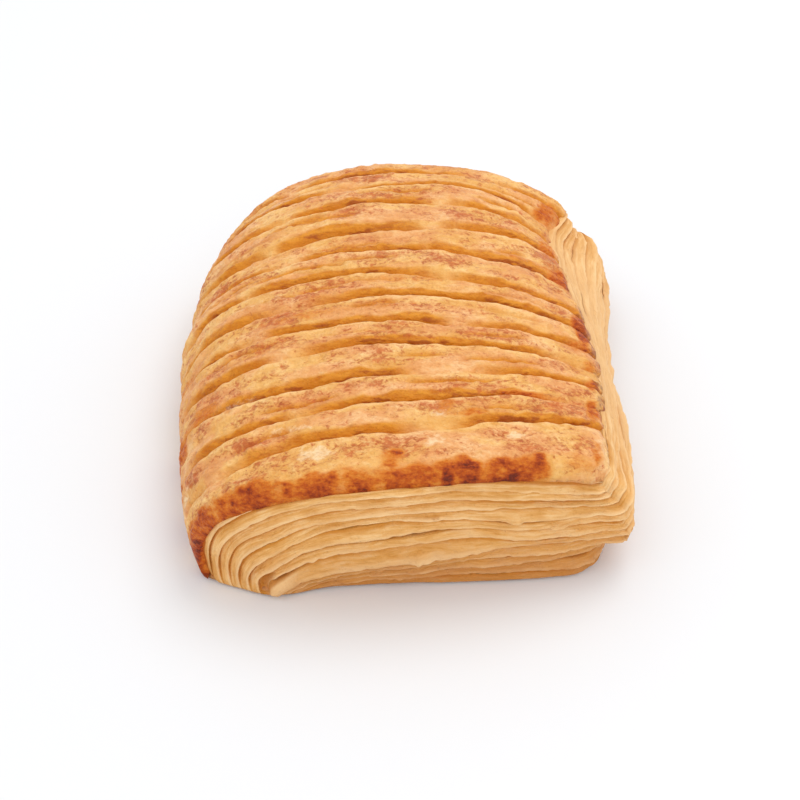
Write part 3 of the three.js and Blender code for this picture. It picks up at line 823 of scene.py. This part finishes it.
def make_lid(material):
    fine, coarse = Lid(LID_COLUMNS), Lid(LID_COARSE)
    fine_strips, fine_shares = strip_rows(STRIP_SHARES)
    strips, shares = strip_rows(COARSE_SHARES)

    def outer(column, row):
        return lid_surface(fine, fine_strips[row], fine_shares[row], column)

    def inner(column, row):
        across = column / LID_COARSE
        strip, share = strips[row], shares[row]
        t = mix(slit_place(strip, across), slit_place(strip + 1, across), share)
        rim = np.minimum(np.minimum(across, 1 - across), np.minimum(t, 1 - t))
        depth = mix(RIM_THICKNESS, CORE_THICKNESS, smooth(0, 0.06, rim))
        return coarse.point(column, mix(0.012, 0.988, t), -depth - end_roll(t)), {}

    outer_skin = skin(LID_COLUMNS, len(fine_strips) - 1, outer)
    inner_skin = skin(LID_COARSE, len(strips) - 1, inner)
    return piece("lid", outer_skin, inner_skin, material)


BAND_COLUMNS, BAND_COARSE = (260, 220, 140), (52, 44, 28)
LAYER_SHARES = np.array([0, 0.05, 0.12, 0.22, 0.35, 0.5, 0.64, 0.76, 0.85, 0.9, 0.945, 0.98])
BAND_THICKNESS = 6.5


def make_layers(material):
    fine_downs = np.append((np.arange(LAYERS)[:, None] + LAYER_SHARES).ravel() / LAYERS, 1.0)
    downs = np.append(np.repeat(np.arange(LAYERS), 2) + np.tile([0, 0.5], LAYERS), LAYERS) / LAYERS

    def edge(pieces):
        """The lid's edge along the open side, where the band hangs from."""
        t = np.linspace(0, 1, pieces + 1)
        lid = Lid(4)
        column = np.full(pieces + 1, 4)
        points = lid.point(column, t, -end_roll(t) - 0.3)
        return {"t": t, "x": points[:, 0], "z": points[:, 2]}

    fine = Band(fine_downs, BAND_COLUMNS, edge(BAND_COLUMNS[1]))
    coarse = Band(downs, BAND_COARSE, edge(BAND_COARSE[1]))

    def outer(column, row):
        return layer_surface(fine, row, fine_downs[row], column)

    def inner(column, row):
        turn = coarse.round[column]
        out_x, out_y = outwards(turn)
        points = coarse.rows[row, column].copy()
        points[..., 0] -= BAND_THICKNESS * out_x
        points[..., 1] -= BAND_THICKNESS * out_y
        points[..., 2] = np.maximum(points[..., 2] - TOP_TUCK[1] * (row == 0), FOOT)
        return points, {}

    outer_skin = skin(sum(BAND_COLUMNS), len(fine_downs) - 1, outer)
    inner_skin = skin(sum(BAND_COARSE), len(downs) - 1, inner)
    return piece("layers", outer_skin, inner_skin, material)


BASE_CELLS, BASE_COARSE = (100, 130), (20, 26)


def make_base(material):
    def outer(column, row):
        return base_surface(column / BASE_CELLS[0], row / BASE_CELLS[1])

    def inner(column, row):
        points, _ = base_surface(column / BASE_COARSE[0], row / BASE_COARSE[1])
        points[..., :2] *= 0.985
        points[..., 2] = BASE_HEIGHT
        return points, {}

    return piece("base", skin(*BASE_CELLS, outer), skin(*BASE_COARSE, inner), material)


# ---- Finishes -----------------------------------------------------------------------------------------


def colour(red, green, blue):
    """A linear colour from the usual 0 to 255 values."""
    share = np.array([red, green, blue]) / 255
    return (*np.where(share <= 0.04045, share / 12.92, ((share + 0.055) / 1.055) ** 2.4), 1.0)


class Nodes:
    """Short ways to add and join the nodes of one material or node group."""

    def __init__(self, tree):
        self.tree = tree

    def add(self, kind, inputs=(), **settings):
        made = self.tree.nodes.new(kind)
        for key, value in settings.items():
            setattr(made, key, value)
        for key, value in dict(inputs).items():
            self.put(made.inputs[key], value)
        return made

    def put(self, socket, value):
        if isinstance(value, bpy.types.NodeSocket):
            self.tree.links.new(value, socket)
        else:
            socket.default_value = value

    def attribute(self, name):
        return self.add("ShaderNodeAttribute", attribute_name=name).outputs["Fac"]

    def math(self, operation, a, b=0.0, clamp=False):
        node = self.add("ShaderNodeMath", {0: a, 1: b}, operation=operation, use_clamp=clamp)
        return node.outputs[0]

    def mean(self, shares):
        """The sum of (value, share) pairs."""
        total = 0.0
        for value, share in shares:
            total = self.add("ShaderNodeMath", {0: value, 1: share, 2: total}, operation="MULTIPLY_ADD").outputs[0]
        return total

    def noise(self, scale, detail=3.0, roughness=0.55, vector=None, distortion=0.0):
        inputs = {"Scale": scale, "Detail": detail, "Roughness": roughness, "Distortion": distortion}
        if vector is not None:
            inputs["Vector"] = vector
        return self.add("ShaderNodeTexNoise", inputs).outputs["Fac"]

    def step(self, value, low, high):
        """0 below low, 1 above high, smooth between."""
        inputs = {"Value": value, "From Min": low, "From Max": high}
        node = self.add("ShaderNodeMapRange", inputs, interpolation_type="SMOOTHSTEP")
        return node.outputs["Result"]

    def blend(self, share, a, b, mode="MIX"):
        node = self.add("ShaderNodeMix", data_type="RGBA", blend_type=mode)
        self.put(node.inputs[0], share)
        self.put(node.inputs[6], a)
        self.put(node.inputs[7], b)
        return node.outputs[2]

    def ramp(self, value, stops):
        node = self.add("ShaderNodeValToRGB", {"Fac": value})
        elements = node.color_ramp.elements
        while len(elements) < len(stops):
            elements.new(0.5)
        for element, (position, rgba) in zip(elements, stops):
            element.position = position
            element.color = rgba
        return node.outputs["Color"]


def group(name, inputs, outputs, build):
    """A shader node group with named inputs (name, default) and outputs (name, socket type)."""
    tree = bpy.data.node_groups.new(name, "ShaderNodeTree")
    for label, default in inputs:
        kind = "NodeSocketVector" if label == "Vector" else "NodeSocketFloat"
        socket = tree.interface.new_socket(label, in_out="INPUT", socket_type=kind)
        if default is not None:
            socket.default_value = default
    for label, kind in outputs:
        tree.interface.new_socket(label, in_out="OUTPUT", socket_type=kind)
    nodes = Nodes(tree)
    source = nodes.add("NodeGroupInput")
    results = build(nodes, source.outputs)
    nodes.add("NodeGroupOutput", results)
    return tree


def speckle_group():
    """Ragged specks of one size, gathered in drifts: they cover more where Amount is higher."""

    def build(nodes, given):
        fine = nodes.noise(given["Scale"], 5.0, 0.62, given["Vector"], 0.6)
        drift = nodes.noise(nodes.math("MULTIPLY", given["Scale"], 0.22), 2.0, 0.5, given["Vector"])
        level = nodes.math("ADD", fine, nodes.math("MULTIPLY", nodes.math("SUBTRACT", drift, 0.5), 0.55))
        level = nodes.math("ADD", level, nodes.math("MULTIPLY", given["Amount"], 0.2))
        return {"Mask": nodes.step(level, 0.57, 0.8)}

    inputs = [("Vector", None), ("Scale", 600.0), ("Amount", 0.0)]
    return group("specks", inputs, [("Mask", "NodeSocketFloat")], build)


def grain_group():
    """The fine crumb of baked dough, as a height."""

    def build(nodes, given):
        crumb = nodes.noise(given["Scale"], 4.0, 0.6, given["Vector"])
        pores = nodes.add(
            "ShaderNodeTexVoronoi", {"Vector": given["Vector"], "Scale": nodes.math("MULTIPLY", given["Scale"], 0.8)}
        ).outputs["Distance"]
        height = nodes.math("ADD", crumb, nodes.math("MULTIPLY", nodes.step(pores, 0.0, 0.35), 0.35))
        return {"Height": height}

    return group("crumb grain", [("Vector", None), ("Scale", 1500.0)], [("Height", "NodeSocketFloat")], build)


def finish(name):
    material = bpy.data.materials.new(name)
    material.use_nodes = True
    nodes = Nodes(material.node_tree)
    shader = material.node_tree.nodes["Principled BSDF"]
    place = nodes.add("ShaderNodeTexCoord").outputs["Object"]
    return material, nodes, shader, place


def put_group(nodes, tree, inputs):
    return nodes.add("ShaderNodeGroup", inputs, node_tree=tree)


def crust_finish(specks, grain):
    """Egg-washed puff pastry: gold, freckled red-brown on the ridges, ochre in the slits, with painted shade at the
    slits' bottoms and a painted highlight along the strips' far brinks.
    """
    material, nodes, shader, place = finish("egg-washed crust")
    flank, ridge, toast = nodes.attribute("flank"), nodes.attribute("ridge"), nodes.attribute("toast")
    pale, crack, rise = nodes.attribute("pale"), nodes.attribute("crack"), nodes.attribute("rise")

    brink = nodes.attribute("brink")

    def drawn_out(length, width):
        """Places scaled for a pattern of so many mm, which is longer along the strips than across."""
        scale = (1 / (length * MM), 1 / (width * MM), 1 / (width * MM))
        return nodes.add("ShaderNodeMapping", {"Vector": place, "Scale": scale}).outputs["Vector"]

    broad = nodes.noise(1.0, 3.0, 0.6, drawn_out(16.0, 9.0))
    mottle = nodes.noise(1.0, 4.0, 0.62, drawn_out(3.4, 2.0))
    fine = nodes.noise(1.0, 3.0, 0.6, drawn_out(1.1, 0.8))
    tone = nodes.mean([(broad, 0.4), (mottle, 0.4), (fine, 0.2)])
    yellow = nodes.ramp(
        tone, [(0.36, colour(224, 154, 68)), (0.5, colour(238, 180, 102)), (0.62, colour(251, 207, 140))]
    )
    salmon = nodes.ramp(
        tone, [(0.36, colour(216, 138, 74)), (0.5, colour(236, 168, 104)), (0.62, colour(249, 201, 144))]
    )
    gold = nodes.blend(nodes.step(nodes.noise(1.0, 2.0, 0.5, drawn_out(22.0, 7.0)), 0.42, 0.58), yellow, salmon)
    gold = nodes.blend(nodes.math("MULTIPLY", rise, 0.35), gold, colour(248, 192, 118))
    # Painted highlight: a strip's far brink is painted pale, as if it caught the light.
    gold = nodes.blend(nodes.math("MULTIPLY", brink, nodes.step(mottle, 0.35, 0.65)), gold, colour(250, 204, 140))
    ochre = nodes.ramp(mottle, [(0.36, colour(200, 114, 16)), (0.6, colour(226, 148, 44))])
    base = nodes.blend(nodes.step(flank, 0.03, 0.6), gold, ochre)

    # Freckles: ragged marks, specks and the brown rims of burst blisters, in drifts on the ridges.
    drift = nodes.noise(1.0, 2.0, 0.5, drawn_out(20.0, 10.0))
    amount = nodes.mean([(ridge, 0.45), (toast, 0.6), (pale, -0.9), (flank, -0.4), (brink, -0.5)])
    amount = nodes.mean([(drift, 3.2), (amount, 1.0), (1.0, -1.72)])
    marks = put_group(nodes, specks, {"Vector": drawn_out(2.0, 1.4), "Scale": 1.0, "Amount": amount})
    points = put_group(nodes, specks, {"Vector": drawn_out(1.2, 0.9), "Scale": 1.0, "Amount": amount})
    cells = nodes.add(
        "ShaderNodeTexVoronoi", {"Vector": drawn_out(3.0, 2.1), "Scale": 1.0}, feature="DISTANCE_TO_EDGE"
    ).outputs["Distance"]
    rims = nodes.math("SUBTRACT", 1.0, nodes.step(nodes.math("ADD", cells, nodes.math("MULTIPLY", fine, 0.3)), 0.14, 0.3))
    rims = nodes.math("MULTIPLY", rims, nodes.step(nodes.math("ADD", mottle, nodes.math("MULTIPLY", amount, 0.16)), 0.5, 0.66))
    freckle = nodes.math("MAXIMUM", marks.outputs["Mask"], points.outputs["Mask"])
    freckle = nodes.math("MAXIMUM", freckle, nodes.math("MULTIPLY", rims, 0.3))
    freckled = nodes.ramp(mottle, [(0.35, colour(172, 74, 26)), (0.6, colour(206, 106, 50))])
    base = nodes.blend(nodes.math("MULTIPLY", freckle, 0.85), base, freckled)

    # The bottom of a slit is darkened to ochre-brown all along, partly its baked colour and partly painted shade, and
    # baked red-brown here and there.
    pits = nodes.step(nodes.noise(1.0, 3.0, 0.6, drawn_out(9.0, 3.0)), 0.5, 0.62)
    base = nodes.blend(nodes.math("MULTIPLY", nodes.step(crack, 0.1, 0.8), 0.7), base, colour(210, 126, 22))
    burnt = nodes.math("MULTIPLY", pits, nodes.step(nodes.mean([(flank, 0.5), (crack, 0.7), (fine, 0.5)]), 0.66, 1.1))
    base = nodes.blend(nodes.math("MULTIPLY", burnt, 0.75), base, colour(156, 64, 12))

    edge = nodes.mean([(toast, 1.0), (mottle, 1.0), (1.0, -0.5)])
    blotch = nodes.noise(1.0, 3.0, 0.6, drawn_out(5.0, 1.9))
    rough_edge = nodes.mean([(toast, 0.9), (blotch, 0.9), (mottle, 0.9), (fine, 0.7), (1.0, -1.34)])
    browned = nodes.ramp(
        rough_edge,
        [
            (0.15, colour(226, 144, 56)),
            (0.45, colour(212, 116, 30)),
            (0.68, colour(188, 84, 14)),
            (0.88, colour(150, 54, 10)),
            (1.0, colour(110, 38, 16)),
        ],
    )
    base = nodes.blend(nodes.step(edge, 0.05, 0.6), base, browned)
    ragged_rim = nodes.mean([(nodes.attribute("rim"), 0.8), (toast, 0.35), (mottle, 2.0), (fine, 0.5)])
    rim = nodes.step(ragged_rim, 1.78, 2.3)
    base = nodes.blend(nodes.math("MULTIPLY", rim, 0.7), base, colour(138, 70, 42))
    blanched = nodes.step(nodes.mean([(pale, 0.8), (fine, 0.8), (mottle, 0.9)]), 1.1, 1.75)
    base = nodes.blend(nodes.math("MULTIPLY", blanched, 0.8), base, colour(252, 222, 178))
    nodes.put(shader.inputs["Base Color"], base)

    rough = nodes.add(
        "ShaderNodeMapRange", {"Value": mottle, "From Min": 0.3, "From Max": 0.7, "To Min": 0.34, "To Max": 0.58}
    )
    nodes.put(shader.inputs["Roughness"], rough.outputs["Result"])
    shader.inputs["Specular IOR Level"].default_value = 0.2

    crumb = put_group(nodes, grain, {"Vector": place, "Scale": 1300.0}).outputs["Height"]
    height = nodes.mean([(crumb, 0.5), (mottle, 2.2), (fine, 1.0), (freckle, -0.08), (rims, -0.05)])
    bump = nodes.add("ShaderNodeBump", {"Height": height, "Strength": 0.9, "Distance": 0.0005})
    nodes.put(shader.inputs["Normal"], bump.outputs["Normal"])
    return material


def dough_finish(specks, grain):
    """The cut layers: pale where a layer's lip stands out (a painted highlight), ochre where it is drawn in (painted
    shade under the layer above).
    """
    material, nodes, shader, place = finish("baked layers")
    recess_shade, lip_highlight, down = nodes.attribute("recess_shade"), nodes.attribute("lip_highlight"), nodes.attribute("down")
    side, crack, scorch = nodes.attribute("side"), nodes.attribute("crack"), nodes.attribute("scorch")
    flow = nodes.add("ShaderNodeCombineXYZ", {"X": nodes.attribute("along_layer"), "Y": nodes.attribute("layer_count")})
    stretched = nodes.add("ShaderNodeMapping", {"Vector": flow.outputs["Vector"], "Scale": (0.1, 2.6, 1.0)})
    sheets = nodes.noise(1.0, 4.0, 0.65, stretched.outputs["Vector"], 0.4)
    thin = nodes.add("ShaderNodeMapping", {"Vector": flow.outputs["Vector"], "Scale": (0.12, 8.0, 1.0)})
    hairlines = nodes.noise(1.0, 2.0, 0.6, thin.outputs["Vector"])
    broad = nodes.noise(110.0, 4.0, 0.6, place)
    tone = nodes.mean([(sheets, 0.45), (hairlines, 0.25), (broad, 0.3)])
    pale = nodes.ramp(
        tone, [(0.38, colour(208, 143, 66)), (0.5, colour(229, 171, 100)), (0.6, colour(244, 199, 138))]
    )
    # Painted highlight: the layers' lips and the nose are painted paler, as if lit from above.
    base = nodes.blend(nodes.math("MULTIPLY", lip_highlight, 0.65), pale, colour(248, 210, 158))
    # Painted shade: ochre-brown where a layer is drawn in under the one above, and in the hollow by the nose.
    base = nodes.blend(nodes.math("MULTIPLY", nodes.step(recess_shade, 0.05, 0.9), 0.75), base, colour(200, 126, 40))
    low = nodes.step(nodes.mean([(down, 1.0), (sheets, 0.5), (broad, 0.5)]), 1.0, 1.5)
    base = nodes.blend(nodes.math("MULTIPLY", low, 0.7), base, colour(190, 116, 50))
    base = nodes.blend(nodes.math("MULTIPLY", side, 0.5), base, colour(238, 196, 144))
    # Painted shadow: the open cracks on the front end are painted dark brown.
    base = nodes.blend(nodes.math("MULTIPLY", crack, 0.8), base, colour(140, 76, 18))
    base = nodes.blend(nodes.step(scorch, 0.1, 0.6), base, colour(184, 96, 30))
    specked = put_group(nodes, specks, {"Vector": place, "Scale": 700.0, "Amount": -0.35})
    base = nodes.blend(nodes.math("MULTIPLY", specked.outputs["Mask"], 0.5), base, colour(176, 112, 56))
    nodes.put(shader.inputs["Base Color"], base)
    shader.inputs["Roughness"].default_value = 0.62
    nodes.put(shader.inputs["Roughness"], nodes.math("ADD", nodes.math("MULTIPLY", broad, 0.2), 0.5))
    shader.inputs["Specular IOR Level"].default_value = 0.1
    crumb = put_group(nodes, grain, {"Vector": place, "Scale": 1100.0}).outputs["Height"]
    height = nodes.math("ADD", crumb, nodes.math("MULTIPLY", sheets, 1.5))
    bump = nodes.add("ShaderNodeBump", {"Height": height, "Strength": 0.8, "Distance": 0.0004})
    nodes.put(shader.inputs["Normal"], bump.outputs["Normal"])
    return material


def bottom_finish(specks, grain):
    """The bottom, baked brown and dry on the tray."""
    material, nodes, shader, place = finish("baked bottom")
    rim, hollow = nodes.attribute("rim"), nodes.attribute("hollow")
    broad = nodes.noise(60.0, 4.0, 0.6, place)
    base = nodes.ramp(broad, [(0.32, colour(150, 86, 38)), (0.5, colour(184, 116, 58)), (0.68, colour(210, 148, 84))])
    base = nodes.blend(nodes.math("MULTIPLY", hollow, 0.5), base, colour(222, 166, 104))
    base = nodes.blend(nodes.math("MULTIPLY", rim, 0.5), base, colour(214, 152, 88))
    specked = put_group(nodes, specks, {"Vector": place, "Scale": 300.0, "Amount": 0.2})
    base = nodes.blend(nodes.math("MULTIPLY", specked.outputs["Mask"], 0.5), base, colour(112, 58, 26))
    nodes.put(shader.inputs["Base Color"], base)
    nodes.put(shader.inputs["Roughness"], nodes.math("ADD", nodes.math("MULTIPLY", broad, 0.25), 0.55))
    height = put_group(nodes, grain, {"Vector": place, "Scale": 900.0}).outputs["Height"]
    bump = nodes.add("ShaderNodeBump", {"Height": height, "Strength": 0.4, "Distance": 0.0005})
    nodes.put(shader.inputs["Normal"], bump.outputs["Normal"])
    return material


# ---- The studio ---------------------------------------------------------------------------------------

CAMERA_TARGET = (0.0, -20.0, 20.0)
CAMERA_DISTANCE = 396.0
CAMERA_ELEVATION = 37.0  # degrees
CAMERA_LENS = 66.3  # mm, on a sensor 36 mm wide
FLOOR_REACH = 20.0  # metres from the middle, so that its rim is far off in a low view
FLOOR_GLOW = (0.155, 0.35, 1.3)  # it brightens by this much between these distances, to meet the white room


def make_floor():
    bm = bmesh.new()
    bmesh.ops.create_grid(bm, x_segments=8, y_segments=8, size=FLOOR_REACH)
    mesh = bpy.data.meshes.new("floor")
    bm.to_mesh(mesh)
    bm.free()
    floor = bpy.data.objects.new("floor", mesh)
    bpy.context.scene.collection.objects.link(floor)
    material, nodes, shader, place = finish("white table")
    shade = nodes.ramp(nodes.noise(3.0, 2.0, 0.5, place), [(0.3, (0.83, 0.84, 0.86, 1)), (0.7, (0.84, 0.85, 0.87, 1))])
    nodes.put(shader.inputs["Base Color"], shade)
    far = nodes.add("ShaderNodeVectorMath", {0: place}, operation="LENGTH").outputs["Value"]
    glow = (FLOOR_GLOW[0], FLOOR_GLOW[0], FLOOR_GLOW[0], 1)
    nodes.put(shader.inputs["Emission Color"], nodes.blend(nodes.step(far, *FLOOR_GLOW[1:]), (0, 0, 0, 1), glow))
    shader.inputs["Emission Strength"].default_value = 1.0
    shader.inputs["Roughness"].default_value = 0.9
    shader.inputs["Specular IOR Level"].default_value = 0.1
    mesh.materials.append(material)


def make_light(name, place, target, size, power, tint):
    data = bpy.data.lights.new(name, "AREA")
    data.shape = "DISK"
    data.size = size
    data.energy = power
    data.color = tint
    lamp = bpy.data.objects.new(name, data)
    lamp.location = place
    lamp.rotation_euler = (Vector(target) - Vector(place)).to_track_quat("-Z", "Y").to_euler()
    bpy.context.scene.collection.objects.link(lamp)


def make_studio():
    make_floor()
    make_light("overhead softbox", (0.35, 0.35, 1.0), (0, 0, 0.02), 0.7, 3.2, (1.0, 0.99, 0.975))
    make_light("front fill", (0.1, -1.2, 0.9), (0, 0, 0.02), 1.0, 2.4, (0.98, 0.99, 1.0))
    world = bpy.data.worlds.new("white room")
    world.use_nodes = True
    background = world.node_tree.nodes["Background"]
    background.inputs["Color"].default_value = (1.0, 1.0, 1.0, 1.0)
    background.inputs["Strength"].default_value = 0.95
    bpy.context.scene.world = world
    bpy.context.scene.view_settings.view_transform = "Standard"

    target = placed(CAMERA_TARGET)
    tilt = math.radians(CAMERA_ELEVATION)
    back = np.array([0.0, -math.cos(tilt), math.sin(tilt)]) * CAMERA_DISTANCE * MM
    data = bpy.data.cameras.new("camera")
    data.lens = CAMERA_LENS
    data.sensor_width = 36.0
    data.clip_start = 0.01
    camera = bpy.data.objects.new("camera", data)
    camera.location = target + back
    camera.rotation_euler = Vector(-back).to_track_quat("-Z", "Y").to_euler()
    bpy.context.scene.collection.objects.link(camera)
    bpy.context.scene.camera = camera


# ---- Putting it together ------------------------------------------------------------------------------

speckles, crumb_grain = speckle_group(), grain_group()
make_lid(crust_finish(speckles, crumb_grain))
make_layers(dough_finish(speckles, crumb_grain))
make_base(bottom_finish(speckles, crumb_grain))
make_studio()
